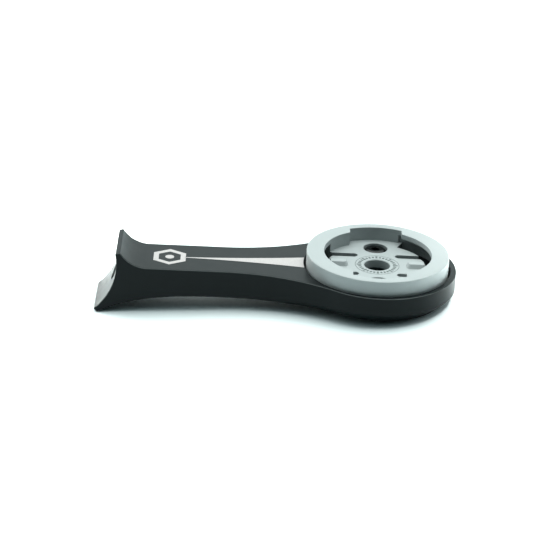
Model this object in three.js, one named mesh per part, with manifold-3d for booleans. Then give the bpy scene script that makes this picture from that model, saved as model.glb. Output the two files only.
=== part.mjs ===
// Out-front mount for a cycling computer: a one-piece machined arm that bolts against a handlebar,
// and a moulded twist-lock insert that the computer turns into. Millimetres, +Z up.
//
// Everything is drawn around the insert's own axis, with z = 0 at the insert's top face, and the
// group at the end moves the whole mount so that its origin is under the middle of its box.
// +X runs from the handlebar saddle to the free end, and +Y is to the left of that.

import * as THREE from "three";
import { mergeVertices } from "three/addons/utils/BufferGeometryUtils.js";
import Module from "manifold-3d";

const wasm = await Module();
wasm.setup();

const { cos, sin, sqrt, atan2, PI } = Math;
const radians = THREE.MathUtils.degToRad;

// ---- Driving dimensions ----------------------------------------------------------------------

// Handlebar saddle: an arc of the bar's own radius, with a thin lip at each end.
const BAR = { r: 15.9, x: -80.1, z: -3.2 };
const SADDLE_TOP = radians(11.25);
const SADDLE_BOTTOM = radians(-48.75);
const SADDLE_FACETS = 24;
const LIP = 1.2;

// Arm: a flat bar between the saddle and the dish.
const ARM = { top: -3.65, bottom: -10.7, halfWidth: 7.5 };
const SHOULDER_X = -56.5; // where the flat top starts to climb to the upper lip
const BELLY = { x: -40, handle: 12.4, lipHandle: 7.3, lipAngle: radians(30.7) };
const FLARE_X = -38; // where the sides start to spread to the dish

// Dish: the round end, with a pocket that holds the insert.
const DISH = { x: 0.4, r: 19.25, chamfer: 2.5, chamferFrom: -36, chamferTo: -4 };
const POCKET = { r: 17.95, floor: -5.55 };

// Insert: a ring with two notches for the computer's tabs and a channel that leads off each one.
const INSERT = { r: 17.65, opening: 13.3, floorTop: -3.45, bottom: -5.55 };
const NOTCH = { r: 15.3, halfWidth: 6.5 };
const FLANGE = 1.3; // thickness of the rim over the channels
const CHANNEL = { from: radians(-30), to: radians(64), inner: 12.45, outer: 16.0, overrun: radians(3.5) };
const CENTRE_HOLE = 3.175;

// Spring fingers: two tongues cut free in the insert's floor, with a raised click ridge on each.
const SLOT = { y: 5.5, width: 1.8, rootX: 4.65 };
const FINGER = { from: 5.6, tipR: 12.15, thickness: 1.2, corner: 1.0, rootGap: 0.3 };
const RIDGE = { from: 7.2, to: 11.7, halfWidth: 1.6, height: 1.0 };

// Fixings: two M3 screws in the insert, one accessory bolt hole and one tapped hole in the saddle.
const SCREW = { y: 10.25, head: 2.75, seat: -4.75, headTop: -3.6, shank: 1.45, tip: -9.75, edge: 0.35 };
const SOCKET = { acrossFlats: 2.0, depth: 0.8 };
const COUNTERBORE = 3.0;
const CLEARANCE_HOLE = 1.7;
const TAPPED_HOLE = 1.55;
const ACCESSORY_HOLE = 2.6;
const BAR_BOLT = { tapped: 2.5, mouth: 3.0, depth: 14, z: (ARM.top + ARM.bottom) / 2 };

const EDGE = 0.02; // least chamfer of a lofted edge
const ROUND = 96; // sides of a full-size circle
const SMALL = 40; // sides of a hole
const CURVE = 16; // steps along a curve of the arm's side view
const FLARE_STEPS = 20; // steps along the flare, on either side
const BAND = 24; // steps along a stretch of ring
const CORNER = 8; // steps along a small arc
const PAST = 1; // how far a cutter runs past the face it cuts
const LAP = 0.5; // how far two joined cutters run into each other
const WELD = 1e-4; // points closer than this are one point

// ---- Solids from geometry, and back ----------------------------------------------------------

// A closed three.js geometry as a manifold solid.
function solid(geometry) {
  geometry.deleteAttribute("normal");
  geometry.deleteAttribute("uv");
  const merged = mergeVertices(geometry, WELD);
  return new wasm.Manifold(
    new wasm.Mesh({
      numProp: 3,
      vertProperties: Float32Array.from(merged.attributes.position.array),
      triVerts: Uint32Array.from(merged.index.array),
    }),
  );
}

// A manifold solid as a named mesh with its own material.
function piece(name, body, color, roughness, metalness) {
  const result = body.getMesh();
  const geometry = new THREE.BufferGeometry();
  geometry.setAttribute("position", new THREE.BufferAttribute(result.vertProperties, 3));
  geometry.setIndex(new THREE.BufferAttribute(result.triVerts, 1));
  geometry.computeVertexNormals();
  const material = new THREE.MeshStandardMaterial({ color, roughness, metalness, flatShading: true });
  const mesh = new THREE.Mesh(geometry, material);
  mesh.name = name;
  return mesh;
}

// Points along an arc, both ends included.
function arc(x, y, r, from, to, steps) {
  return Array.from({ length: steps + 1 }, (_, i) => {
    const angle = from + ((to - from) * i) / steps;
    return new THREE.Vector2(x + r * cos(angle), y + r * sin(angle));
  });
}

// An outline in X and Y, raised from one height to another.
function prism(points, low, high) {
  const geometry = new THREE.ExtrudeGeometry(new THREE.Shape(points), {
    depth: high - low,
    bevelEnabled: false,
  });
  geometry.translate(0, 0, low);
  return solid(geometry);
}

// An upright cylinder between two heights.
function rod(r, low, high, x = 0, y = 0, sides = SMALL) {
  const geometry = new THREE.CylinderGeometry(r, r, high - low, sides);
  geometry.rotateX(PI / 2);
  geometry.translate(x, y, (low + high) / 2);
  return solid(geometry);
}

// A closed body through rings of points, each ring the same length, capped at both ends.
function loft(rings) {
  const count = rings[0].length;
  const positions = rings.flat().flatMap((p) => [p.x, p.y, p.z]);
  const flat = rings[0].map((p) => new THREE.Vector2(p.x, p.y));
  const cap = THREE.ShapeUtils.triangulateShape(flat, []);
  const top = (rings.length - 1) * count;
  const faces = [];
  for (const [a, b, c] of cap) {
    faces.push(a, c, b);
    faces.push(top + a, top + b, top + c);
  }
  for (let ring = 0; ring < rings.length - 1; ring++) {
    for (let i = 0; i < count; i++) {
      const a = ring * count + i;
      const b = ring * count + ((i + 1) % count);
      faces.push(a, b, b + count);
      faces.push(a, b + count, a + count);
    }
  }
  const geometry = new THREE.BufferGeometry();
  geometry.setAttribute("position", new THREE.Float32BufferAttribute(positions, 3));
  geometry.setIndex(faces);
  return solid(geometry);
}

// ---- Arm -------------------------------------------------------------------------------------

// A point on a circle about the handlebar's axis, as x and z.
function onBar(r, angle) {
  return new THREE.Vector2(BAR.x + r * cos(angle), BAR.z + r * sin(angle));
}

// Side view of the saddle end: upper lip, bar arc, lower lip and the long curve of the belly.
function saddleProfile() {
  const upper = onBar(BAR.r + LIP, SADDLE_TOP);
  const lower = onBar(BAR.r + LIP, SADDLE_BOTTOM);
  const across = SHOULDER_X - upper.x;
  const climb = upper.y - ARM.top;
  const r = (across * across + climb * climb) / (2 * climb);
  const centreZ = ARM.top + r;
  const top = atan2(upper.y - centreZ, upper.x - SHOULDER_X);
  const shoulder = arc(SHOULDER_X, centreZ, r, -PI / 2, top, CURVE);
  const saddle = arc(BAR.x, BAR.z, BAR.r, SADDLE_TOP, SADDLE_BOTTOM, SADDLE_FACETS);
  const reach = new THREE.Vector2(cos(BELLY.lipAngle), sin(BELLY.lipAngle)).multiplyScalar(BELLY.lipHandle);
  const belly = new THREE.CubicBezierCurve(
    lower,
    lower.clone().add(reach),
    new THREE.Vector2(BELLY.x - BELLY.handle, ARM.bottom),
    new THREE.Vector2(BELLY.x, ARM.bottom),
  ).getPoints(CURVE);
  const overlapX = FLARE_X + PAST;
  return [
    new THREE.Vector2(overlapX, ARM.top),
    ...shoulder,
    ...saddle,
    ...belly,
    new THREE.Vector2(overlapX, ARM.bottom),
  ];
}

// The saddle end, its side view carried across the arm's width.
function saddleEnd() {
  const geometry = new THREE.ExtrudeGeometry(new THREE.Shape(saddleProfile()), {
    depth: 2 * ARM.halfWidth,
    bevelEnabled: false,
  });
  geometry.rotateX(PI / 2);
  geometry.translate(0, ARM.halfWidth, 0);
  return solid(geometry);
}

// Plan view from the start of the flare round the dish, as points with outward directions.
function dishOutline() {
  const run = DISH.x - FLARE_X;
  const gap = DISH.r - ARM.halfWidth;
  const flareR = (run * run + ARM.halfWidth ** 2 - DISH.r ** 2) / (2 * gap);
  const join = atan2(ARM.halfWidth + flareR, FLARE_X - DISH.x);
  const flare = arc(FLARE_X, ARM.halfWidth + flareR, flareR, -PI / 2, join - PI, FLARE_STEPS);
  const left = flare.map((p) => ({ x: p.x, y: p.y, out: [FLARE_X - p.x, ARM.halfWidth + flareR - p.y] }));
  const round = arc(DISH.x, 0, DISH.r, join, -join, ROUND - FLARE_STEPS);
  const rim = round.slice(1, -1).map((p) => ({ x: p.x, y: p.y, out: [p.x - DISH.x, p.y] }));
  const right = left.map((p) => ({ x: p.x, y: -p.y, out: [p.out[0], -p.out[1]] })).reverse();
  const back = { x: FLARE_X - PAST, out: [0, 0] };
  const outline = [...left, ...rim, ...right, { ...back, y: -ARM.halfWidth }, { ...back, y: ARM.halfWidth }];
  return outline.reverse();
}

// The dish end: a plate whose lower edge is chamfered, more and more towards the dish.
function dishEnd() {
  const outline = dishOutline();
  const depth = (x) => EDGE + (DISH.chamfer - EDGE) * THREE.MathUtils.smoothstep(x, DISH.chamferFrom, DISH.chamferTo);
  const foot = outline.map((p) => {
    const length = sqrt(p.out[0] ** 2 + p.out[1] ** 2) || 1;
    const inset = depth(p.x) / length;
    return new THREE.Vector3(p.x - p.out[0] * inset, p.y - p.out[1] * inset, ARM.bottom);
  });
  const shoulder = outline.map((p) => new THREE.Vector3(p.x, p.y, ARM.bottom + depth(p.x)));
  const rim = outline.map((p) => new THREE.Vector3(p.x, p.y, ARM.top));
  return loft([foot, shoulder, rim]);
}

// The tapped hole in the saddle, along X, with a countersunk mouth.
function barBoltHole() {
  const faceX = BAR.x + sqrt(BAR.r ** 2 - (BAR_BOLT.z - BAR.z) ** 2);
  const step = BAR_BOLT.mouth - BAR_BOLT.tapped;
  const profile = [
    new THREE.Vector2(0, -2 * PAST),
    new THREE.Vector2(BAR_BOLT.mouth, -2 * PAST),
    new THREE.Vector2(BAR_BOLT.mouth, step),
    new THREE.Vector2(BAR_BOLT.tapped, 2 * step),
    new THREE.Vector2(BAR_BOLT.tapped, BAR_BOLT.depth),
    new THREE.Vector2(0, BAR_BOLT.depth + BAR_BOLT.tapped / 2),
  ];
  const geometry = new THREE.LatheGeometry(profile, SMALL);
  geometry.rotateZ(-PI / 2);
  geometry.translate(faceX, 0, BAR_BOLT.z);
  return solid(geometry);
}

function arm() {
  return saddleEnd()
    .add(dishEnd())
    .subtract(rod(POCKET.r, POCKET.floor, ARM.top + PAST, 0, 0, ROUND))
    .subtract(rod(ACCESSORY_HOLE, ARM.bottom - PAST, POCKET.floor + PAST))
    .subtract(rod(TAPPED_HOLE, ARM.bottom - PAST, POCKET.floor + PAST, 0, SCREW.y))
    .subtract(rod(TAPPED_HOLE, ARM.bottom - PAST, POCKET.floor + PAST, 0, -SCREW.y))
    .subtract(barBoltHole());
}

// ---- Insert ----------------------------------------------------------------------------------

// A stretch of ring between two radii and two angles.
function sector(inner, outer, from, to, low, high) {
  const outside = arc(0, 0, outer, from, to, BAND);
  const inside = arc(0, 0, inner, to, from, BAND);
  return prism([...outside, ...inside], low, high);
}

// Both notches: a band across the opening, as wide as a tab, out to the notch's back wall.
function notches() {
  const side = Math.asin(NOTCH.halfWidth / NOTCH.r);
  const far = arc(0, 0, NOTCH.r, PI / 2 - side, PI / 2 + side, BAND / 2);
  const near = arc(0, 0, NOTCH.r, -PI / 2 - side, -PI / 2 + side, BAND / 2);
  return prism([...far, ...near], INSERT.floorTop, PAST);
}

// The channel under the flange, and the open floor beneath it, on the side that a computer turns to.
function channel(turn) {
  const { inner, outer, overrun } = CHANNEL;
  const from = CHANNEL.from + turn;
  const to = CHANNEL.to + turn;
  const under = sector(INSERT.opening - PAST, outer, from, to + overrun, INSERT.floorTop, -FLANGE);
  const open = sector(inner, outer, from, to, INSERT.bottom - PAST, INSERT.floorTop + LAP);
  return under.add(open);
}

// The window in the floor that frees one spring finger; side is 1 for +X and -1 for -X.
function fingerWindow(side) {
  const outerY = SLOT.y + SLOT.width / 2;
  const endR = SLOT.width / 2;
  const low = INSERT.bottom - PAST;
  const high = INSERT.floorTop + LAP;
  const bay = prism(
    [
      new THREE.Vector2(FINGER.from - FINGER.rootGap, -outerY),
      new THREE.Vector2(INSERT.r, -outerY),
      new THREE.Vector2(INSERT.r, outerY),
      new THREE.Vector2(FINGER.from - FINGER.rootGap, outerY),
    ],
    low,
    high,
  );
  const ends = rod(endR, low, high, SLOT.rootX + endR, SLOT.y).add(rod(endR, low, high, SLOT.rootX + endR, -SLOT.y));
  const right = bay.add(ends).intersect(rod(INSERT.opening, low, high, 0, 0, ROUND));
  return side > 0 ? right : right.rotate([0, 0, 180]);
}

function insert() {
  let body = rod(INSERT.r, INSERT.bottom, 0, 0, 0, ROUND)
    .subtract(rod(INSERT.opening, INSERT.floorTop, PAST, 0, 0, ROUND))
    .subtract(notches())
    .subtract(rod(CENTRE_HOLE, INSERT.bottom - PAST, INSERT.floorTop + PAST));
  for (const turn of [0, PI]) {
    body = body.subtract(channel(turn));
  }
  for (const side of [1, -1]) {
    body = body
      .subtract(fingerWindow(side))
      .subtract(rod(COUNTERBORE, SCREW.seat, INSERT.floorTop + PAST, 0, side * SCREW.y))
      .subtract(rod(CLEARANCE_HOLE, INSERT.bottom - PAST, SCREW.seat + LAP, 0, side * SCREW.y));
  }
  return body;
}

// ---- Spring fingers --------------------------------------------------------------------------

// One tongue, drawn for +X: a flat plate whose tip follows the ring, with the click ridge on top.
function finger() {
  const half = SLOT.y - SLOT.width / 2;
  const { from, tipR, corner, thickness } = FINGER;
  const cornerX = sqrt((tipR - corner) ** 2 - (half - corner) ** 2);
  const turn = atan2(half - corner, cornerX);
  const plate = prism(
    [
      new THREE.Vector2(from, -half),
      ...arc(cornerX, corner - half, corner, -PI / 2, -turn, CORNER),
      ...arc(0, 0, tipR, -turn, turn, CORNER).slice(1, -1),
      ...arc(cornerX, half - corner, corner, turn, PI / 2, CORNER),
      new THREE.Vector2(from, half),
    ],
    INSERT.floorTop - thickness,
    INSERT.floorTop,
  );
  const r = (RIDGE.halfWidth ** 2 + RIDGE.height ** 2) / (2 * RIDGE.height);
  const reach = Math.asin(RIDGE.halfWidth / r);
  const section = [
    ...arc(0, RIDGE.height - r, r, PI / 2 + reach, PI / 2 - reach, CORNER).reverse(),
    new THREE.Vector2(-RIDGE.halfWidth, -thickness / 2),
    new THREE.Vector2(RIDGE.halfWidth, -thickness / 2),
  ];
  const geometry = new THREE.ExtrudeGeometry(new THREE.Shape(section), {
    depth: RIDGE.to - RIDGE.from,
    bevelEnabled: false,
  });
  geometry.rotateX(PI / 2);
  geometry.rotateZ(PI / 2);
  geometry.translate(RIDGE.from, 0, INSERT.floorTop);
  return plate.add(solid(geometry));
}

// ---- Screws ----------------------------------------------------------------------------------

// A low round head with a hex socket, and its shank.
function screw() {
  const { head, seat, headTop, shank, tip, edge } = SCREW;
  const profile = [
    new THREE.Vector2(0, tip),
    new THREE.Vector2(shank - edge, tip),
    new THREE.Vector2(shank, tip + edge),
    new THREE.Vector2(shank, seat),
    new THREE.Vector2(head, seat),
    new THREE.Vector2(head, headTop - edge),
    new THREE.Vector2(head - edge, headTop),
    new THREE.Vector2(0, headTop),
  ];
  const geometry = new THREE.LatheGeometry(profile, SMALL);
  geometry.rotateX(PI / 2);
  const corner = SOCKET.acrossFlats / sqrt(3);
  const socket = rod(corner, headTop - SOCKET.depth, headTop + PAST, 0, 0, 6);
  return solid(geometry).subtract(socket);
}

// ---- Assembly --------------------------------------------------------------------------------

const BLACK = 0x24292b;
const GREY = 0xdde4e3;
const SCREW_BLACK = 0x17191a;

const lowX = onBar(BAR.r, SADDLE_BOTTOM).x;
const lowZ = onBar(BAR.r + LIP, SADDLE_BOTTOM).y;
const highX = DISH.x + DISH.r;

const mount = new THREE.Group();
mount.position.set(-(lowX + highX) / 2, 0, -lowZ);
mount.add(piece("arm", arm(), BLACK, 0.35, 0.6));
mount.add(piece("twist_lock_insert", insert(), GREY, 0.45, 0));
mount.add(piece("spring_finger_front", finger(), GREY, 0.45, 0));
mount.add(piece("spring_finger_rear", finger().rotate([0, 0, 180]), GREY, 0.45, 0));
for (const [name, y] of [["insert_screw_left", SCREW.y], ["insert_screw_right", -SCREW.y]]) {
  const mesh = piece(name, screw(), SCREW_BLACK, 0.4, 0.8);
  mesh.position.y = y;
  mount.add(mesh);
}

export default mount;
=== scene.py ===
"""Looks for an out-front mount for a cycling computer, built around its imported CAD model.

Lengths are in millimetres about the axis of the twist-lock socket, with z = 0 at the ring's top
face, +X towards the free end of the dish and +Y to the left. Each finished mesh is then moved
into the frame of the CAD model, in metres.
"""

import math

import bmesh
import bpy
from mathutils import Matrix, Vector

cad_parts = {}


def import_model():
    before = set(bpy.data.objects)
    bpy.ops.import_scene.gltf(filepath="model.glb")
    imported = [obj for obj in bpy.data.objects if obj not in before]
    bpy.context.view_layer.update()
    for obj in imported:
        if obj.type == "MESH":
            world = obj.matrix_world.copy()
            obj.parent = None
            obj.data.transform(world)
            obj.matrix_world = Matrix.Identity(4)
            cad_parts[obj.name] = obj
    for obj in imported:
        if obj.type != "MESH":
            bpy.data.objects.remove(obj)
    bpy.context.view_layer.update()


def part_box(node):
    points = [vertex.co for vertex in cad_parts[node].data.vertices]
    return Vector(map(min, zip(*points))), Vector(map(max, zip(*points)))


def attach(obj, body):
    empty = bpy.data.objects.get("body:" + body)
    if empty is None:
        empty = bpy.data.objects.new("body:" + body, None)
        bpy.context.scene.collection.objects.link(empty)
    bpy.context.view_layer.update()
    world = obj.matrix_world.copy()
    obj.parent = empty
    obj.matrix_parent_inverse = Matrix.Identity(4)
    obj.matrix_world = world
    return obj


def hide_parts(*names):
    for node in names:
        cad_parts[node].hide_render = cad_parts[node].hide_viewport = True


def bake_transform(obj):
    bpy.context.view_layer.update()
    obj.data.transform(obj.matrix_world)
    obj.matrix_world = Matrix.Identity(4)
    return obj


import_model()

# ---- The frame -------------------------------------------------------------------------------

MM = 0.001
ring_low, ring_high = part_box("twist_lock_insert")
AXIS = Vector(((ring_low.x + ring_high.x) / 2, (ring_low.y + ring_high.y) / 2, ring_high.z))
TO_FRAME = Matrix.Translation(AXIS) @ Matrix.Diagonal((MM, MM, MM, 1))

# ---- Driving dimensions ----------------------------------------------------------------------

# Handlebar saddle
BAR_X = -80.1
BAR_Z = -3.2
BAR_R = 15.9
SADDLE_TOP = math.radians(11.25)
SADDLE_BOTTOM = math.radians(-48.75)
LIP = 1.2
LIP_CORNER = 0.3

# Arm
ARM_TOP = -3.65
ARM_BOTTOM = -10.7
ARM_HALF = 7.5
SHOULDER_X = -56.5
BELLY_X = -40.0
BELLY_HANDLE = 12.4
LIP_HANDLE = 7.3
LIP_ANGLE = math.radians(30.7)
FLARE_X = -38.0
EDGE = 0.27

# Dish
DISH_X = 0.4
DISH_R = 19.25
CHAMFER = 2.5
CHAMFER_FROM = -36.0
CHAMFER_TO = -4.0
CHAMFER_SOFT = 0.35
POCKET_R = 18.05
POCKET_RIM = 0.2
POCKET_FLOOR = -5.55
ACCESSORY_R = 2.6
ACCESSORY_RIM = 0.4

# Insert
INSERT_R = 17.65
INSERT_EDGE = 0.25
OPENING_R = 13.3
OPENING_EDGE = 0.15
FLOOR_TOP = -3.45
INSERT_BOTTOM = -5.55
NOTCH_R = 15.3
NOTCH_HALF = 6.5
FLANGE = 1.3
CHANNEL_FROM = math.radians(-30)
CHANNEL_TO = math.radians(64)
CHANNEL_OVERRUN = math.radians(3.5)
CHANNEL_INNER = 12.45
CHANNEL_OUTER = 16.0
CENTRE_HOLE_R = 3.175
CENTRE_HOLE_EDGE = 0.15

# Spring fingers
SLOT_Y = 5.5
SLOT_WIDTH = 1.8
SLOT_ROOT = 4.65
FINGER_ROOT = 5.3
FINGER_TIP_R = 12.15
FINGER_THICK = 1.2
FINGER_CORNER = 1.0
FINGER_EDGE = 0.12
FINGER_TENON = 0.4
BEND_SPACING = 0.5
BEND_POINTS = 11
RIDGE_FROM = 7.2
RIDGE_TO = 11.7
RIDGE_HALF = 1.6
RIDGE_TOP_HALF = 0.9
RIDGE_HIGH = 1.0
RIDGE_RUN = 0.6
RIDGE_TIP_RUN = 0.12
RIDGE_CORNER_SHARE = 0.6

# Screws and their holes; the threads' sizes are radii
SCREW_Y = 10.25
HEAD_R = 2.75
HEAD_FLAT_R = 1.75
HEAD_SEAT = -4.75
HEAD_TOP = -3.6
HEAD_RIM = -4.3
HEAD_EDGE = 0.1
SOCKET_R = 1.16
SOCKET_DEEP = 0.8
SOCKET_TIP_DEEP = 0.35
SOCKET_TIP_SHARE = 0.2
SOCKET_TURN = {1: math.radians(18), -1: math.radians(41)}
SHANK_TIP = -9.75
M3_MAJOR = 1.45
M3_MINOR = 1.2
M3_PITCH = 0.5
COUNTERBORE_R = 3.0
COUNTERBORE_EDGE = 0.12
CLEARANCE_R = 1.7
TAPPED_R = 1.55
TAPPED_RIM = 0.25
M6_MAJOR = 2.95
M6_MINOR = 2.5
M6_PITCH = 1.0
BAR_BOLT_MOUTH_R = 3.0
BAR_BOLT_DEEP = 14.0
DRILL_POINT = 1.4
BAR_BOLT_Z = (ARM_TOP + ARM_BOTTOM) / 2

# Etched marks
MARK_PROUD = 0.02
STRIPE_TIP = Vector((-47.6, 0.15))
STRIPE_BEND = Vector((-32.0, 0.75))
STRIPE_END = Vector((-17.9, 3.0))
BADGE_X = -51.4
BADGE_R = 4.6
BADGE_LINE = 1.5
BADGE_DOT_R = 1.1
INDEX_R = 5.5
INDEX_WIDE = 0.12
TICKS = 32
LONG_TICK_EVERY = 4
TICK_SPAN = (4.05, 4.8)
LONG_TICK_SPAN = (3.9, 5.1)
TICK_HALF = 0.25

# How finely round shapes are drawn
ROUND = 192
SMALL = 64
SHOULDER_STEPS = 28
SADDLE_STEPS = 64
BELLY_STEPS = 36
FLARE_STEPS = 48
LIP_STEPS = 4
EDGE_STEPS = 7
OPENING_STEPS = 72
NOTCH_STEPS = 40
SLOT_STEPS = 16
BAY_STEPS = 24
TIP_STEPS = 16
CORNER_STEPS = 10
TINY_STEPS = 5
HEAD_STEPS = 8
STRIPE_STEPS = 24
STRIPE_END_STEPS = 12
THREAD_STEPS = 48
THREAD_LEVELS = 8
SMOOTH_BELOW = math.radians(28)

# How far a cutter runs past a face, how far a shank runs into its head, how close points merge
PAST = 1.0
LAP = 0.2
WELD = 1e-5


# ---- Points ----------------------------------------------------------------------------------


def arc(x, y, radius, start, end, steps):
    """Points along an arc, both ends included."""
    angles = [start + (end - start) * i / steps for i in range(steps + 1)]
    return [Vector((x + radius * math.cos(a), y + radius * math.sin(a))) for a in angles]


def bezier(a, b, c, d, steps):
    """Points along a cubic curve, both ends included."""
    points = []
    for i in range(steps + 1):
        t = i / steps
        s = 1 - t
        points.append(a * s**3 + b * (3 * s * s * t) + c * (3 * s * t * t) + d * t**3)
    return points


def smoothstep(value, low, high):
    """0 up to low and 1 from high, with a smooth rise between."""
    t = min(1.0, max(0.0, (value - low) / (high - low)))
    return t * t * (3 - 2 * t)


def hexagon(radius, start=0.0):
    """The six corners of a hexagon, the first one at the angle start."""
    return arc(0, 0, radius, start, start + 2 * math.pi, 6)[:-1]


def soften(points, index, radius, steps):
    """The same open outline with one corner rounded to that radius."""
    corner = points[index]
    before = (points[index - 1] - corner).normalized()
    after = (points[index + 1] - corner).normalized()
    half = before.angle(after) / 2
    reach = radius / math.tan(half)
    centre = corner + (before + after).normalized() * (radius / math.sin(half))
    spoke = corner + before * reach - centre
    start = math.atan2(spoke.y, spoke.x)
    turn = (math.pi - 2 * half) * math.copysign(1, after.cross(before))
    curve = arc(centre.x, centre.y, radius, start, start + turn, steps)
    return points[:index] + curve + points[index + 1 :]


def inset_line(points, amount):
    """An open outline moved sideways, to the left of its direction of travel."""
    sharpest = 0.5
    moved = []
    last = len(points) - 1
    for i, point in enumerate(points):
        ahead = (points[min(i + 1, last)] - points[min(i, last - 1)]).normalized()
        behind = (points[max(i, 1)] - points[max(i - 1, 0)]).normalized()
        normal = Vector((-ahead.y, ahead.x)) + Vector((-behind.y, behind.x))
        normal.normalize()
        lean = max(sharpest, normal.dot(Vector((-ahead.y, ahead.x))))
        moved.append(point + normal * (amount / lean))
    return moved


# ---- Meshes ----------------------------------------------------------------------------------


def mesh_object(name, points, faces):
    """A linked object from points and faces, welded and with its faces pointing out."""
    mesh = bpy.data.meshes.new(name)
    mesh.from_pydata([tuple(p) for p in points], [], faces)
    work = bmesh.new()
    work.from_mesh(mesh)
    bmesh.ops.remove_doubles(work, verts=work.verts, dist=WELD)
    bmesh.ops.recalc_face_normals(work, faces=work.faces)
    work.to_mesh(mesh)
    work.free()
    obj = bpy.data.objects.new(name, mesh)
    bpy.context.scene.collection.objects.link(obj)
    return obj


def ring_faces(rings, count, closed=True):
    """Quads between neighbouring rings of points."""
    faces = []
    for ring in range(rings - 1):
        for i in range(count if closed else count - 1):
            a = ring * count + i
            b = ring * count + (i + 1) % count
            faces.append((a, b, b + count, a + count))
    return faces


def loft(name, rings):
    """A closed body through closed rings of points, with a flat cap at each end."""
    count = len(rings[0])
    points = [p for ring in rings for p in ring]
    faces = ring_faces(len(rings), count)
    faces.append(tuple(range(count)))
    faces.append(tuple(range(len(points) - count, len(points))))
    return mesh_object(name, points, faces)


def prism(name, outline, low, high):
    """A flat outline raised from one height to another."""
    rings = [[(p.x, p.y, z) for p in outline] for z in (low, high)]
    return loft(name, rings)


def lathe(name, profile, steps=ROUND, x=0.0, y=0.0):
    """A closed round body. The profile holds (radius, height) and starts and ends on the axis."""
    rings = []
    for radius, z in profile:
        circle = arc(x, y, radius, 0, 2 * math.pi, steps)[:-1]
        rings.append([(p.x, p.y, z) for p in circle])
    points = [p for ring in rings for p in ring]
    return mesh_object(name, points, ring_faces(len(rings), steps))


def thread(name, major, minor, pitch, low, high):
    """A closed body with a real screw thread about the Z axis, flat at its crest and its root."""
    crest = 1.4
    slope = 2.2
    rings = []
    levels = round((high - low) / pitch * THREAD_LEVELS)
    for level in range(levels + 1):
        z = low + (high - low) * level / levels
        ring = []
        for i in range(THREAD_STEPS):
            angle = 2 * math.pi * i / THREAD_STEPS
            phase = (z / pitch - i / THREAD_STEPS) % 1.0
            height = min(1.0, max(0.0, crest - slope * abs(2 * phase - 1)))
            radius = minor + (major - minor) * height
            ring.append((radius * math.cos(angle), radius * math.sin(angle), z))
        rings.append(ring)
    return loft(name, rings)


def carve(obj, cutters, operation="DIFFERENCE"):
    """Cuts other bodies out of obj, or joins them to it, and removes them."""
    for cutter in cutters:
        step = obj.modifiers.new("carve", "BOOLEAN")
        step.operation = operation
        step.solver = "MANIFOLD"
        step.object = cutter
    depsgraph = bpy.context.evaluated_depsgraph_get()
    obj.data = bpy.data.meshes.new_from_object(obj.evaluated_get(depsgraph))
    obj.modifiers.clear()
    for cutter in cutters:
        bpy.data.objects.remove(cutter)
    return obj


def finish_mesh(obj, material):
    """Moves a mesh into the frame, smooths its gentle edges and gives it a material."""
    mesh = obj.data
    mesh.transform(TO_FRAME)
    mesh.shade_smooth()
    mesh.set_sharp_from_angle(angle=SMOOTH_BELOW)
    mesh.materials.clear()
    mesh.materials.append(material)
    flatten = obj.modifiers.new("weighted normals", "WEIGHTED_NORMAL")
    flatten.keep_sharp = True
    return obj


# ---- Materials -------------------------------------------------------------------------------


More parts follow.
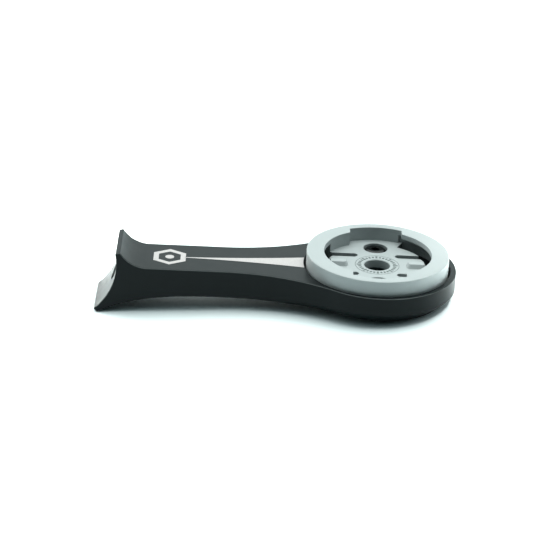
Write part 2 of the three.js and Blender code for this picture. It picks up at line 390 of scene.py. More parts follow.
class Nodes:
    """A small helper that adds and joins shader nodes."""

    def __init__(self, name):
        self.material = bpy.data.materials.new(name)
        self.material.use_nodes = True
        self.tree = self.material.node_tree
        self.shader = self.tree.nodes["Principled BSDF"]
        coordinates = self.add("ShaderNodeTexCoord")
        self.place = coordinates.outputs["Object"]

    def add(self, kind, **values):
        node = self.tree.nodes.new(kind)
        for key, value in values.items():
            setattr(node, key, value)
        return node

    def link(self, source, target):
        self.tree.links.new(source, target)

    def noise(self, scale, detail, stretch=(1, 1, 1)):
        """Cloudy noise from 0 to 1, finer with a higher scale."""
        mapping = self.add("ShaderNodeMapping")
        mapping.inputs["Scale"].default_value = stretch
        self.link(self.place, mapping.inputs["Vector"])
        node = self.add("ShaderNodeTexNoise")
        node.inputs["Scale"].default_value = scale
        node.inputs["Detail"].default_value = detail
        self.link(mapping.outputs["Vector"], node.inputs["Vector"])
        return node.outputs["Fac"]

    def spread(self, source, low, high, start=0.3, end=0.7):
        """The source's range from start to end, stretched to run from low to high."""
        node = self.add("ShaderNodeMapRange")
        node.inputs["From Min"].default_value = start
        node.inputs["From Max"].default_value = end
        node.inputs["To Min"].default_value = low
        node.inputs["To Max"].default_value = high
        self.link(source, node.inputs["Value"])
        return node.outputs["Result"]

    def tint(self, source, dark, light):
        """A colour between two, by a value from 0.3 to 0.7."""
        node = self.add("ShaderNodeMix", data_type="RGBA")
        node.inputs["A"].default_value = (*dark, 1)
        node.inputs["B"].default_value = (*light, 1)
        self.link(self.spread(source, low=0, high=1), node.inputs["Factor"])
        return node.outputs["Result"]

    def mix(self, share, first, second):
        """first where share is 0 and the colour second where it is 1."""
        node = self.add("ShaderNodeMix", data_type="RGBA")
        self.link(share, node.inputs["Factor"])
        self.link(first, node.inputs["A"])
        node.inputs["B"].default_value = (*second, 1)
        return node.outputs["Result"]

    def bump(self, source, distance, strength):
        node = self.add("ShaderNodeBump")
        node.inputs["Strength"].default_value = strength
        node.inputs["Distance"].default_value = distance
        self.link(source, node.inputs["Height"])
        return node.outputs["Normal"]

    def times(self, a, b):
        node = self.add("ShaderNodeMath", operation="MULTIPLY")
        self.link(a, node.inputs[0])
        self.link(b, node.inputs[1])
        return node.outputs["Value"]

    def painted_edge_highlight(self):
        """Painted highlight: 0 on flat faces, rising to 1 on rounded top edges whose side faces +Y or
        -Y.
        """
        geometry = self.add("ShaderNodeNewGeometry")
        parts = self.add("ShaderNodeSeparateXYZ")
        self.link(geometry.outputs["Normal"], parts.inputs["Vector"])
        sideways = self.times(parts.outputs["Y"], parts.outputs["Y"])
        tilted = self.times(sideways, parts.outputs["Z"])
        return self.spread(tilted, low=0, high=1, start=0.08, end=0.3)

    def set(self, name, value):
        self.shader.inputs[name].default_value = value

    def feed(self, name, source):
        self.link(source, self.shader.inputs[name])


def anodised_black():
    """Bead-blasted aluminium, satin black anodised, with a painted highlight on its +Y and -Y top
    edges.
    """
    nodes = Nodes("anodised_black")
    cloud = nodes.noise(scale=260, detail=3)
    grain = nodes.noise(scale=9000, detail=2)
    skin = nodes.tint(cloud, dark=(0.0022, 0.0062, 0.0070), light=(0.0036, 0.0084, 0.0093))
    # A lighter colour is painted on the top edges that face +Y or -Y, as a highlight.
    nodes.feed("Base Color", nodes.mix(nodes.painted_edge_highlight(), skin, (0.10, 0.11, 0.11)))
    nodes.feed("Roughness", nodes.spread(cloud, low=0.30, high=0.36))
    nodes.feed("Normal", nodes.bump(grain, distance=0.004 * MM, strength=0.35))
    nodes.set("IOR", 1.295)
    return nodes.material


def moulded_grey():
    """Light blue-grey nylon with a satin moulded face."""
    nodes = Nodes("moulded_grey")
    cloud = nodes.noise(scale=180, detail=3)
    grain = nodes.noise(scale=7000, detail=2)
    skin = nodes.tint(cloud, dark=(0.350, 0.380, 0.382), light=(0.370, 0.400, 0.402))
    nodes.feed("Base Color", skin)
    nodes.feed("Roughness", nodes.spread(cloud, low=0.42, high=0.50))
    nodes.feed("Normal", nodes.bump(grain, distance=0.005 * MM, strength=0.3))
    nodes.set("IOR", 1.48)
    return nodes.material


def black_oxide():
    """Steel with a thin black oxide skin."""
    nodes = Nodes("black_oxide")
    cloud = nodes.noise(scale=900, detail=3)
    grain = nodes.noise(scale=12000, detail=2)
    skin = nodes.tint(cloud, dark=(0.003, 0.004, 0.0045), light=(0.006, 0.0075, 0.008))
    nodes.feed("Base Color", skin)
    nodes.feed("Roughness", nodes.spread(cloud, low=0.14, high=0.20))
    nodes.feed("Normal", nodes.bump(grain, distance=0.003 * MM, strength=0.4))
    nodes.set("IOR", 1.45)
    return nodes.material


def etched_metal():
    """Aluminium laid bare by a laser: pale, matt and finely hatched."""
    nodes = Nodes("etched_metal")
    hatch = nodes.noise(scale=5000, detail=1, stretch=(1, 0.15, 1))
    skin = nodes.tint(hatch, dark=(0.425, 0.405, 0.40), light=(0.475, 0.455, 0.45))
    nodes.feed("Base Color", skin)
    nodes.feed("Roughness", nodes.spread(hatch, low=0.5, high=0.65))
    nodes.feed("Normal", nodes.bump(hatch, distance=0.004 * MM, strength=0.3))
    nodes.set("IOR", 1.45)
    return nodes.material


def printed_grey():
    """Thin dark-grey marking on the insert's floor."""
    nodes = Nodes("printed_grey")
    cloud = nodes.noise(scale=3000, detail=2)
    skin = nodes.tint(cloud, dark=(0.09, 0.11, 0.11), light=(0.13, 0.15, 0.15))
    nodes.feed("Base Color", skin)
    nodes.feed("Roughness", nodes.spread(cloud, low=0.5, high=0.6))
    return nodes.material


# ---- Arm -------------------------------------------------------------------------------------


def on_bar(radius, angle):
    """A point on a circle about the handlebar's axis, as x and z."""
    return Vector((BAR_X + radius * math.cos(angle), BAR_Z + radius * math.sin(angle)))


def saddle_line():
    """Side view of the saddle end, from the arm's top round both lips to the arm's underside."""
    upper = on_bar(BAR_R + LIP, SADDLE_TOP)
    lower = on_bar(BAR_R + LIP, SADDLE_BOTTOM)
    across = SHOULDER_X - upper.x
    climb = upper.y - ARM_TOP
    radius = (across**2 + climb**2) / (2 * climb)
    centre_z = ARM_TOP + radius
    lip_end = math.atan2(upper.y - centre_z, upper.x - SHOULDER_X)
    shoulder = arc(SHOULDER_X, centre_z, radius, -math.pi / 2, lip_end, SHOULDER_STEPS)
    saddle = arc(BAR_X, BAR_Z, BAR_R, SADDLE_TOP, SADDLE_BOTTOM, SADDLE_STEPS)
    reach = Vector((math.cos(LIP_ANGLE), math.sin(LIP_ANGLE))) * LIP_HANDLE
    belly_end = Vector((BELLY_X, ARM_BOTTOM))
    belly_pull = belly_end - Vector((BELLY_HANDLE, 0))
    belly = bezier(lower, lower + reach, belly_pull, belly_end, BELLY_STEPS)
    start = Vector((BELLY_X, ARM_TOP))
    line = [start] + shoulder + saddle + belly
    belly_start = len(line) - len(belly)
    saddle_start = 1 + len(shoulder)
    for corner in (belly_start, belly_start - 1, saddle_start, saddle_start - 1):
        line = soften(line, corner, LIP_CORNER, LIP_STEPS)
    return line


def edge_steps():
    """The quarter-round of a long edge, as (in from the side, down from the face) pairs."""
    pairs = []
    for i in range(EDGE_STEPS + 1):
        angle = math.pi / 2 * i / EDGE_STEPS
        pairs.append((EDGE * (1 - math.sin(angle)), EDGE * (1 - math.cos(angle))))
    return pairs


def saddle_end():
    """Points and faces of the saddle end, open where it meets the dish end."""
    line = saddle_line()
    count = len(line)
    rings = []
    for side, pairs in ((-1, reversed(edge_steps())), (1, edge_steps())):
        for inward, down in pairs:
            moved = inset_line(line, down)
            moved[0] = Vector((BELLY_X, ARM_TOP - down))
            moved[-1] = Vector((BELLY_X, ARM_BOTTOM + down))
            rings.append([(p.x, side * (ARM_HALF - inward), p.y) for p in moved])
    points = [p for ring in rings for p in ring]
    faces = ring_faces(len(rings), count, closed=False)
    faces.append(tuple(range(count)))
    faces.append(tuple(range(len(points) - count, len(points))))
    return points, faces


def dish_stations():
    """Plan view round the dish from the arm's left side to its right, as (point, outward)."""
    run = DISH_X - FLARE_X
    flare_r = (run**2 + ARM_HALF**2 - DISH_R**2) / (2 * (DISH_R - ARM_HALF))
    flare_y = ARM_HALF + flare_r
    join = math.atan2(flare_y, FLARE_X - DISH_X)
    left = [(Vector((BELLY_X, ARM_HALF)), Vector((0, 1)))]
    centre = Vector((FLARE_X, flare_y))
    for point in arc(FLARE_X, flare_y, flare_r, -math.pi / 2, join - math.pi, FLARE_STEPS):
        left.append((point, (centre - point).normalized()))
    hub = Vector((DISH_X, 0))
    rim = []
    for point in arc(DISH_X, 0, DISH_R, join, -join, ROUND)[1:-1]:
        rim.append((point, (point - hub).normalized()))
    right = [(Vector((p.x, -p.y)), Vector((o.x, -o.y))) for p, o in reversed(left)]
    return left + rim + right


def eased_corner(t):
    """Where a chamfer's soft corner is at t, from 0 to 1, as (along the face, off the face)."""
    slope = 0.7
    crown = 0.06
    along = CHAMFER_SOFT * (t - 0.5) * (slope if t > 0.5 else 1.0)
    bulge = CHAMFER_SOFT * crown * (1 - (2 * t - 1) ** 2)
    return along, max(0.0, along) * slope + bulge


def foot_steps(x):
    """The lower edge at x, as (in, up) pairs: a small round that grows into a soft chamfer."""
    grow = smoothstep(x, CHAMFER_FROM, CHAMFER_TO)
    size = EDGE + (CHAMFER - EDGE) * grow
    middle = EDGE_STEPS // 2
    pairs = []
    for i in range(EDGE_STEPS + 1):
        angle = math.pi / 2 * i / EDGE_STEPS
        round_pair = Vector((size * (1 - math.sin(angle)), size * (1 - math.cos(angle))))
        if i > middle:
            along, off = eased_corner((EDGE_STEPS - i) / middle)
            flat_pair = Vector((off, size - along))
        else:
            along, off = eased_corner(i / middle)
            flat_pair = Vector((size - along, off))
        pairs.append(round_pair.lerp(flat_pair, grow))
    return pairs


def dish_end():
    """Points and faces of the dish end, open where it meets the saddle end."""
    stations = dish_stations()
    profiles = []
    for point, outward in stations:
        column = []
        for inward, down in edge_steps():
            column.append((*(point - outward * inward), ARM_TOP - down))
        for inward, up in reversed(foot_steps(point.x)):
            column.append((*(point - outward * inward), ARM_BOTTOM + up))
        profiles.append(column)
    count = len(profiles[0])
    points = [p for column in profiles for p in column]
    faces = ring_faces(len(profiles), count, closed=False)
    faces.append(tuple(range(0, len(points), count)))
    faces.append(tuple(range(count - 1, len(points), count)))
    return points, faces


def arm_body():
    """The whole arm, with its pocket and its holes cut."""
    points, faces = saddle_end()
    more_points, more_faces = dish_end()
    shift = len(points)
    faces += [tuple(i + shift for i in face) for face in more_faces]
    body = mesh_object("arm_body", points + more_points, faces)
    pocket = lathe(
        "pocket",
        [
            (0, POCKET_FLOOR),
            (POCKET_R, POCKET_FLOOR),
            (POCKET_R, ARM_TOP - POCKET_RIM),
            (POCKET_R + POCKET_RIM, ARM_TOP),
            (POCKET_R + POCKET_RIM, ARM_TOP + PAST),
            (0, ARM_TOP + PAST),
        ],
        ROUND * 2,
    )
    cutters = [pocket, through_hole("accessory", ACCESSORY_R, ACCESSORY_RIM, 0)]
    for side in (1, -1):
        cutters.append(through_hole("tapped", TAPPED_R, TAPPED_RIM, side * SCREW_Y))
    cutters.append(bar_bolt_hole())
    return carve(body, cutters)


def through_hole(name, radius, rim, y):
    """A cutter for a hole through the dish's floor, wider at the underside."""
    profile = [
        (0, ARM_BOTTOM - PAST),
        (radius + rim, ARM_BOTTOM - PAST),
        (radius + rim, ARM_BOTTOM),
        (radius, ARM_BOTTOM + rim),
        (radius, POCKET_FLOOR + PAST),
        (0, POCKET_FLOOR + PAST),
    ]
    return lathe(name, profile, SMALL, 0, y)


def bar_bolt_hole():
    """A cutter for the threaded hole in the saddle, along X, with a plain mouth."""
    mouth_x = BAR_X + math.sqrt(BAR_R**2 - (BAR_BOLT_Z - BAR_Z) ** 2)
    mouth_deep = BAR_BOLT_MOUTH_R - M6_MINOR
    thread_start = 0.2
    cutter = thread("bar_bolt_hole", M6_MAJOR, M6_MINOR, M6_PITCH, thread_start, BAR_BOLT_DEEP)
    mouth = lathe(
        "mouth",
        [
            (0, -2 * PAST),
            (BAR_BOLT_MOUTH_R, -2 * PAST),
            (BAR_BOLT_MOUTH_R, mouth_deep),
            (M6_MINOR, 2 * mouth_deep),
            (0, 2 * mouth_deep),
        ],
        SMALL,
    )
    drill_point = lathe(
        "drill_point",
        [
            (0, BAR_BOLT_DEEP - PAST),
            (M6_MINOR, BAR_BOLT_DEEP - PAST),
            (M6_MINOR, BAR_BOLT_DEEP),
            (0, BAR_BOLT_DEEP + DRILL_POINT),
        ],
        SMALL,
    )
    carve(cutter, [mouth, drill_point], "UNION")
    along_x = Matrix.Rotation(math.pi / 2, 4, "Y")
    cutter.data.transform(Matrix.Translation((mouth_x, 0, BAR_BOLT_Z)) @ along_x)
    return cutter


# ---- Insert ----------------------------------------------------------------------------------


def opening_outline(grow):
    """Plan view of the opening and its two notches, made larger all round by grow."""
    opening = OPENING_R + grow
    notch = NOTCH_R + grow
    half = NOTCH_HALF + grow
    lip_angle = math.acos(half / opening)
    wall_angle = math.acos(half / notch)
    line = []
    for turn in (0, math.pi):
        spin = Matrix.Rotation(turn, 2)
        part = arc(0, 0, opening, -lip_angle, lip_angle, OPENING_STEPS)
        part += arc(0, 0, notch, wall_angle, math.pi - wall_angle, NOTCH_STEPS)
        line += [spin @ p for p in part]
    return line


def opening_cutter():
    """The opening, with its edge rounded at the ring's top face."""
    soft = OPENING_EDGE
    middle = 0.3 * soft
    rings = []
    for grow, z in ((0, FLOOR_TOP), (0, -soft), (middle, -middle), (soft, 0), (soft, PAST)):
        rings.append([(p.x, p.y, z) for p in opening_outline(grow)])
    return loft("opening", rings)


def sector(name, inner, outer, start, end, low, high):
    """A part of a thick ring, from one angle to another."""
    outline = arc(0, 0, outer, start, end, OPENING_STEPS)
    outline += arc(0, 0, inner, end, start, OPENING_STEPS)
    return prism(name, outline, low, high)


def channel_cutters(turn):
    """The space under the flange, and the open floor beneath it."""
    start = CHANNEL_FROM + turn
    end = CHANNEL_TO + turn
    far = end + CHANNEL_OVERRUN
    inner = OPENING_R - PAST
    under = sector("under", inner, CHANNEL_OUTER, start, far, FLOOR_TOP, -FLANGE)
    low = INSERT_BOTTOM - PAST
    high = FLOOR_TOP + PAST / 2
    window = sector("window", CHANNEL_INNER, CHANNEL_OUTER, start, end, low, high)
    return [under, window]


def finger_bay(side):
    """The window in the floor that frees one spring finger; side is 1 for +X and -1 for -X."""
    slot_r = SLOT_WIDTH / 2
    outer = SLOT_Y + slot_r
    inner = SLOT_Y - slot_r
    end_x = SLOT_ROOT + slot_r
    far_x = math.sqrt(OPENING_R**2 - outer**2)
    far_angle = math.asin(outer / OPENING_R)
    outline = [Vector((far_x, outer))]
    outline += arc(end_x, SLOT_Y, slot_r, math.pi / 2, math.pi * 1.5, SLOT_STEPS)
    outline += [Vector((FINGER_ROOT, inner)), Vector((FINGER_ROOT, -inner))]
    outline += arc(end_x, -SLOT_Y, slot_r, math.pi / 2, math.pi * 1.5, SLOT_STEPS)
    outline += [Vector((far_x, -outer))]
    outline += arc(0, 0, OPENING_R, -far_angle, far_angle, BAY_STEPS)[1:-1]
    spin = Matrix.Rotation(0 if side > 0 else math.pi, 2)
    outline = [spin @ p for p in outline]
    return prism("bay", outline, INSERT_BOTTOM - PAST, FLOOR_TOP + PAST / 2)


def screw_seat(y):
    """A cutter for a screw's counterbore and clearance hole."""
    soft = COUNTERBORE_EDGE
    profile = [
        (0, INSERT_BOTTOM - PAST),
        (CLEARANCE_R, INSERT_BOTTOM - PAST),
        (CLEARANCE_R, HEAD_SEAT),
        (COUNTERBORE_R, HEAD_SEAT),
        (COUNTERBORE_R, FLOOR_TOP - soft),
        (COUNTERBORE_R + soft, FLOOR_TOP),
        (COUNTERBORE_R + soft, FLOOR_TOP + PAST),
        (0, FLOOR_TOP + PAST),
    ]
    return lathe("seat", profile, SMALL * 2, 0, y)


def centre_hole():
    """A cutter for the hole in the middle of the insert's floor."""
    soft = CENTRE_HOLE_EDGE
    profile = [
        (0, INSERT_BOTTOM - PAST),
        (CENTRE_HOLE_R, INSERT_BOTTOM - PAST),
        (CENTRE_HOLE_R, FLOOR_TOP - soft),
        (CENTRE_HOLE_R + soft, FLOOR_TOP),
        (CENTRE_HOLE_R + soft, FLOOR_TOP + PAST),
        (0, FLOOR_TOP + PAST),
    ]
    return lathe("centre_hole", profile, SMALL * 2)


def insert_body():
    """The twist-lock insert without its spring fingers."""
    soft = INSERT_EDGE
    profile = [(0, INSERT_BOTTOM), (INSERT_R - soft, INSERT_BOTTOM), (INSERT_R, INSERT_BOTTOM + soft)]
    profile += [(p.x, p.y) for p in arc(INSERT_R - soft, -soft, soft, 0, math.pi / 2, TINY_STEPS)]
    profile.append((0, 0))
    body = lathe("insert_body", profile, ROUND * 2)
    carve(body, [opening_cutter()])
    cutters = [centre_hole()]
    for turn in (0, math.pi):
        cutters += channel_cutters(turn)
    for side in (1, -1):
        cutters += [finger_bay(side), screw_seat(side * SCREW_Y)]
    return carve(body, cutters)


# ---- Spring fingers --------------------------------------------------------------------------


def finger_outline(inward):
    """Plan view of a tongue, drawn for +X, moved in from its edges."""
    half = SLOT_Y - SLOT_WIDTH / 2 - inward
    tip = FINGER_TIP_R - inward
    corner = FINGER_CORNER - inward
    corner_x = math.sqrt((tip - corner) ** 2 - (half - corner) ** 2)
    turn = math.atan2(half - corner, corner_x)
    right = arc(corner_x, corner - half, corner, -math.pi / 2, -turn, CORNER_STEPS)
    left = arc(corner_x, half - corner, corner, turn, math.pi / 2, CORNER_STEPS)
    front = arc(0, 0, tip, -turn, turn, TIP_STEPS)[1:-1]
    bend_points = [FINGER_ROOT + BEND_SPACING * i for i in range(BEND_POINTS)]
    near = [Vector((x, -half)) for x in bend_points]
    far = [Vector((x, half)) for x in reversed(bend_points)]
    return near + right + front + left + far


def finger(name, side):
    """A spring finger with its click ridge; side is 1 for +X and -1 for -X."""
    soft = FINGER_EDGE
    low = FLOOR_TOP - FINGER_THICK
    rings = []
    for inward, z in ((soft, low), (0, low + soft), (0, FLOOR_TOP - soft), (soft, FLOOR_TOP)):
        rings.append([(p.x, p.y, z) for p in finger_outline(inward)])
    body = loft(name, rings)
    tenon_half = SLOT_Y - SLOT_WIDTH / 2 - 4 * soft
    tenon_outline = [
        Vector((FINGER_ROOT - FINGER_TENON, -tenon_half)),
        Vector((FINGER_ROOT + FINGER_TENON, -tenon_half)),
        Vector((FINGER_ROOT + FINGER_TENON, tenon_half)),
        Vector((FINGER_ROOT - FINGER_TENON, tenon_half)),
    ]
    tenon = prism("tenon", tenon_outline, low + 2 * soft, FLOOR_TOP - 2 * soft)
    carve(body, [tenon, ridge()], "UNION")
    if side < 0:
        body.data.transform(Matrix.Rotation(math.pi, 4, "Z"))
    return body


def ridge():
    """The click ridge: sloped sides, a sloped inner end and a slightly rounded crown."""
    rings = []
    up_and_in = ((-0.25, 0.0), (0.0, 0.0), (0.8, 0.8), (0.95, 1.0), (1.0, 1.25))
    for up, inward in up_and_in:
        half = RIDGE_HALF + (RIDGE_TOP_HALF - RIDGE_HALF) * inward
        start = RIDGE_FROM + RIDGE_RUN * inward
        end = RIDGE_TO - RIDGE_TIP_RUN * inward
        z = FLOOR_TOP + RIDGE_HIGH * up
        corner = RIDGE_CORNER_SHARE * half
        outline = arc(start + corner, corner - half, corner, math.pi * 1.5, math.pi, TINY_STEPS)
        outline += arc(start + corner, half - corner, corner, math.pi, math.pi / 2, TINY_STEPS)
        outline += [Vector((end, half)), Vector((end, -half))]
        rings.append([(p.x, p.y, z) for p in outline])
    return loft("ridge", rings)


# ---- Screws ----------------------------------------------------------------------------------


def hex_socket():
    """A cutter for the socket in a screw's head, with an eased mouth and a drilled bottom."""
    bottom = HEAD_TOP - SOCKET_DEEP
    levels = (
        (SOCKET_R * SOCKET_TIP_SHARE, bottom - SOCKET_TIP_DEEP),
        (SOCKET_R, bottom),
        (SOCKET_R, HEAD_TOP - HEAD_EDGE),
        (SOCKET_R + HEAD_EDGE, HEAD_TOP),
        (SOCKET_R + HEAD_EDGE, HEAD_TOP + PAST),
    )
    rings = [[(p.x, p.y, z) for p in hexagon(radius)] for radius, z in levels]
    return loft("socket", rings)


def screw(name, side):
    """A low round head with a hex socket, and a threaded shank; side is 1 for +Y and -1 for -Y."""
    profile = [(0, HEAD_SEAT), (HEAD_R - HEAD_EDGE, HEAD_SEAT), (HEAD_R, HEAD_SEAT + HEAD_EDGE)]
    for angle in [math.pi / 2 * i / HEAD_STEPS for i in range(HEAD_STEPS + 1)]:
        radius = HEAD_FLAT_R + (HEAD_R - HEAD_FLAT_R) * math.cos(angle)
        profile.append((radius, HEAD_RIM + (HEAD_TOP - HEAD_RIM) * math.sin(angle)))
    profile.append((0, HEAD_TOP))
    head = lathe(name, profile, SMALL * 2)
    shank = thread("shank", M3_MAJOR, M3_MINOR, M3_PITCH, SHANK_TIP, HEAD_SEAT + LAP)
    carve(head, [shank], "UNION")
    carve(head, [hex_socket()])
    turned = Matrix.Rotation(SOCKET_TURN[side], 4, "Z")
    head.data.transform(Matrix.Translation((0, side * SCREW_Y, 0)) @ turned)
    return head


# ---- Etched marks ----------------------------------------------------------------------------


def stripe():
    """A long tapering stripe from the badge to the edge of the pocket."""
    pull = 2 / 3
    tip_pull = STRIPE_TIP.lerp(STRIPE_BEND, pull)
    end_pull = STRIPE_END.lerp(STRIPE_BEND, pull)
    edge = bezier(STRIPE_TIP, tip_pull, end_pull, STRIPE_END, STRIPE_STEPS)
    gap = 0.05
    rim = POCKET_R + POCKET_RIM + gap
    end = math.asin(STRIPE_END.y / rim)
    outline = edge[:-1] + arc(0, 0, rim, math.pi - end, math.pi + end, STRIPE_END_STEPS)
    outline += [Vector((p.x, -p.y)) for p in reversed(edge[:-1])]
    return prism("etched_stripe", outline, ARM_TOP - MARK_PROUD, ARM_TOP + MARK_PROUD)


def badge():
    """A plain six-sided outline with a dot in it."""
    low = ARM_TOP - MARK_PROUD
    high = ARM_TOP + MARK_PROUD
    outer = hexagon(BADGE_R, math.pi / 6)
    inner = hexagon(BADGE_R - BADGE_LINE, math.pi / 6)
    rings = []
    for ring, z in ((outer, low), (outer, high), (inner, high), (inner, low), (outer, low)):
        rings.append([(p.x + BADGE_X, p.y, z) for p in ring])
    points = [p for ring in rings for p in ring]
    mark = mesh_object("etched_badge", points, ring_faces(len(rings), len(outer)))
    dot_profile = [(0, low), (BADGE_DOT_R, low), (BADGE_DOT_R, high), (0, high)]
    dot = lathe("dot", dot_profile, SMALL, BADGE_X, 0)
    return carve(mark, [dot], "UNION")


def index_ring():
    """A thin circle and a ring of ticks round the centre hole."""
    low = FLOOR_TOP - MARK_PROUD
    high = FLOOR_TOP + MARK_PROUD
    inside = INDEX_R - INDEX_WIDE
    profile = [(inside, low), (INDEX_R, low), (INDEX_R, high), (inside, high), (inside, low)]
    ring = lathe("index_ring", profile, SMALL * 2)
    ticks = []
    for i in range(TICKS):
        spin = Matrix.Rotation(2 * math.pi * i / TICKS, 2)
        start, end = TICK_SPAN if i % LONG_TICK_EVERY else LONG_TICK_SPAN
        corners = [(start, -TICK_HALF), (end, -TICK_HALF), (end, TICK_HALF), (start, TICK_HALF)]
        ticks.append(prism("tick", [spin @ Vector(c) for c in corners], low, high))
    return carve(ring, ticks, "UNION")


# ---- Assembly --------------------------------------------------------------------------------

BLACK = anodised_black()
GREY = moulded_grey()
OXIDE = black_oxide()
BARE = etched_metal()
INK = printed_grey()


def place(obj, material, body, slot, *nodes):
    """Finishes a rigid piece, ties it to a CAD body and hides the nodes it stands for; slot is not
    used.
    """
    finish_mesh(obj, material)
    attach(obj, body)
    if nodes:
        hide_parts(*nodes)


place(arm_body(), BLACK, "mount", "anodised_black", "arm")
place(insert_body(), GREY, "mount", "insert_grey", "twist_lock_insert")
place(screw("screw_left", 1), OXIDE, "mount", "screw_black", "insert_screw_left")
place(screw("screw_right", -1), OXIDE, "mount", "screw_black", "insert_screw_right")
place(stripe(), BARE, "mount", "anodised_black")
place(badge(), BARE, "mount", "anodised_black")
place(index_ring(), INK, "mount", "insert_grey")

for word, side in (("front", 1), ("rear", -1)):
    tongue = finish_mesh(finger(f"finger_{word}", side), GREY)
    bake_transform(tongue)
    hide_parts(f"spring_finger_{word}")

# ---- Stage, light and camera -----------------------------------------------------------------

FLOOR_HALF = 2.0
FLOOR_GAP = 0.02 * MM


def floor():
    """A white floor, tilted as the mount rests on its lower lip and the far end of its dish."""
    heel = on_bar(BAR_R + LIP, SADDLE_BOTTOM)
    toe = Vector((DISH_X + DISH_R - CHAMFER, ARM_BOTTOM))
    slope = math.atan2(toe.y - heel.y, toe.x - heel.x)
    half = FLOOR_HALF
    corners = [(-half, -half, 0), (half, -half, 0), (half, half, 0), (-half, half, 0)]
    mesh = bpy.data.meshes.new("floor")
    mesh.from_pydata(corners, [], [(0, 1, 2, 3)])
    mesh.transform(Matrix.Rotation(-slope, 4, "Y"))
    obj = bpy.data.objects.new("floor", mesh)
    bpy.context.scene.collection.objects.link(obj)
    obj.location = TO_FRAME @ Vector((heel.x, 0, heel.y))
    obj.location.z -= FLOOR_GAP
    nodes = Nodes("floor_white")
    nodes.set("Base Color", (0.87, 0.935, 0.945, 1))
    nodes.set("Roughness", 0.9)
    nodes.set("Specular IOR Level", 0.1)
    clear = nodes.add("ShaderNodeBsdfTransparent")
    facing = nodes.add("ShaderNodeNewGeometry")
    mix = nodes.add("ShaderNodeMixShader")
    nodes.link(facing.outputs["Backfacing"], mix.inputs["Fac"])
    nodes.link(nodes.shader.outputs["BSDF"], mix.inputs[1])
    nodes.link(clear.outputs["BSDF"], mix.inputs[2])
    nodes.link(mix.outputs["Shader"], nodes.tree.nodes["Material Output"].inputs["Surface"])
    mesh.materials.append(nodes.material)


def world():
    """A pale room, bright above and behind and dim on the near side; the camera sees it evenly lit."""
    toward_light = (0.0, 0.78, 0.626)
    dim_at = -0.3
    bright_at = 0.65
    dim = 0.02
    bright = 1.7
    dim_tint = (0.50, 0.92, 1.0, 1)
    bright_tint = (0.91, 1.0, 0.995, 1)
    sky = bpy.data.worlds.new("studio")
    bpy.context.scene.world = sky
    sky.use_nodes = True
    tree = sky.node_tree
    background = tree.nodes["Background"]
    place_node = tree.nodes.new("ShaderNodeTexCoord")
    lean = tree.nodes.new("ShaderNodeVectorMath")
    lean.operation = "DOT_PRODUCT"
    lean.inputs[1].default_value = toward_light
    tree.links.new(place_node.outputs["Generated"], lean.inputs[0])
    spread = tree.nodes.new("ShaderNodeMapRange")
    spread.interpolation_type = "SMOOTHSTEP"
    spread.inputs["From Min"].default_value = dim_at
    spread.inputs["From Max"].default_value = bright_at
    spread.inputs["To Min"].default_value = dim
    spread.inputs["To Max"].default_value = bright
    tree.links.new(lean.outputs["Value"], spread.inputs["Value"])
    path = tree.nodes.new("ShaderNodeLightPath")
    seen = tree.nodes.new("ShaderNodeMix")
    tree.links.new(path.outputs["Is Camera Ray"], seen.inputs["Factor"])
    tree.links.new(spread.outputs["Result"], seen.inputs["A"])
    seen.inputs["B"].default_value = 1.0
    tree.links.new(seen.outputs["Result"], background.inputs["Strength"])
    tint = tree.nodes.new("ShaderNodeMix")
    tint.data_type = "RGBA"
    tint.inputs["A"].default_value = dim_tint
    tint.inputs["B"].default_value = bright_tint
    share = tree.nodes.new("ShaderNodeMath")
    share.operation = "MINIMUM"
    share.inputs[1].default_value = 1.0
    tree.links.new(spread.outputs["Result"], share.inputs[0])
    tree.links.new(share.outputs["Value"], tint.inputs["Factor"])
    tree.links.new(tint.outputs["Result"], background.inputs["Color"])


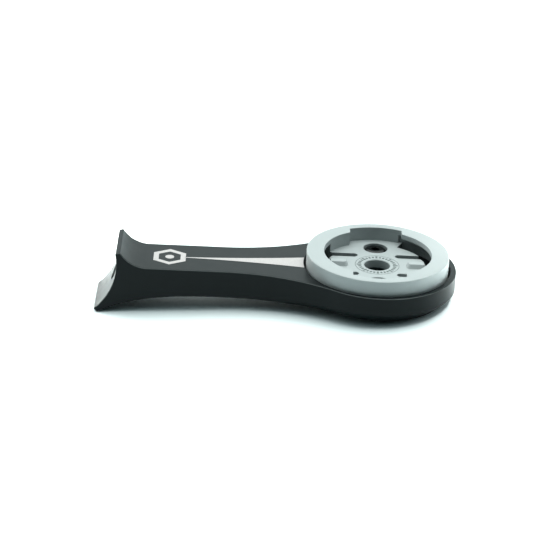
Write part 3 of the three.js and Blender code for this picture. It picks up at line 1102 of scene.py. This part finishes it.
OBJECT = Vector((-25, 0, -6))
SADDLE = Vector((-66, 0, -8))
LEFT_FLOOR = Vector((-118, 95, -20))
RIGHT_FLOOR = Vector((130, 52, -20))
PLAIN = (1.0, 1.0, 0.97)
WARM = (1.0, 0.97, 0.93)


def softbox(name, place, size, power, tint, target, spread):
    """A rectangular light that shines from one point towards another."""
    light = bpy.data.lights.new(name, "AREA")
    light.shape = "RECTANGLE"
    light.size = size[0] * MM
    light.size_y = size[1] * MM
    light.energy = power
    light.spread = spread
    light.color = tint
    obj = bpy.data.objects.new(name, light)
    bpy.context.scene.collection.objects.link(obj)
    obj.location = TO_FRAME @ Vector(place)
    aim = TO_FRAME @ target - obj.location
    obj.rotation_euler = aim.to_track_quat("-Z", "Y").to_euler()


def camera():
    """The camera stands to the right of the mount, above it, and leans a little."""
    stand = TO_FRAME @ Vector((-35.2, -499.0, 223.1))
    turn = math.radians(-0.9)
    elevation = math.radians(24.58)
    lean = math.radians(2.85)
    data = bpy.data.cameras.new("camera")
    data.lens = 149.5
    data.sensor_width = 36
    obj = bpy.data.objects.new("camera", data)
    bpy.context.scene.collection.objects.link(obj)
    aim = Matrix.Rotation(turn, 4, "Z")
    aim = aim @ Matrix.Rotation(math.pi / 2 - elevation, 4, "X")
    aim = aim @ Matrix.Rotation(lean, 4, "Z")
    obj.matrix_world = Matrix.Translation(stand) @ aim
    bpy.context.scene.camera = obj


floor()
world()
softbox(
    "top",
    place=(-20, 130, 635),
    size=(800, 500),
    power=3.3,
    tint=PLAIN,
    target=OBJECT,
    spread=math.pi,
)
softbox(
    "left_glow",
    place=(-118, 95, 60),
    size=(100, 120),
    power=0.35,
    tint=WARM,
    target=LEFT_FLOOR,
    spread=math.radians(36),
)
softbox(
    "left_fill",
    place=(-230, 130, 30),
    size=(160, 80),
    power=0.055,
    tint=WARM,
    target=SADDLE,
    spread=math.radians(70),
)
softbox(
    "right_glow",
    place=(130, 52, 150),
    size=(120, 120),
    power=1.45,
    tint=PLAIN,
    target=RIGHT_FLOOR,
    spread=math.radians(50),
)
camera()
view = bpy.context.scene.view_settings
view.view_transform = "Standard"
view.gamma = 0.86
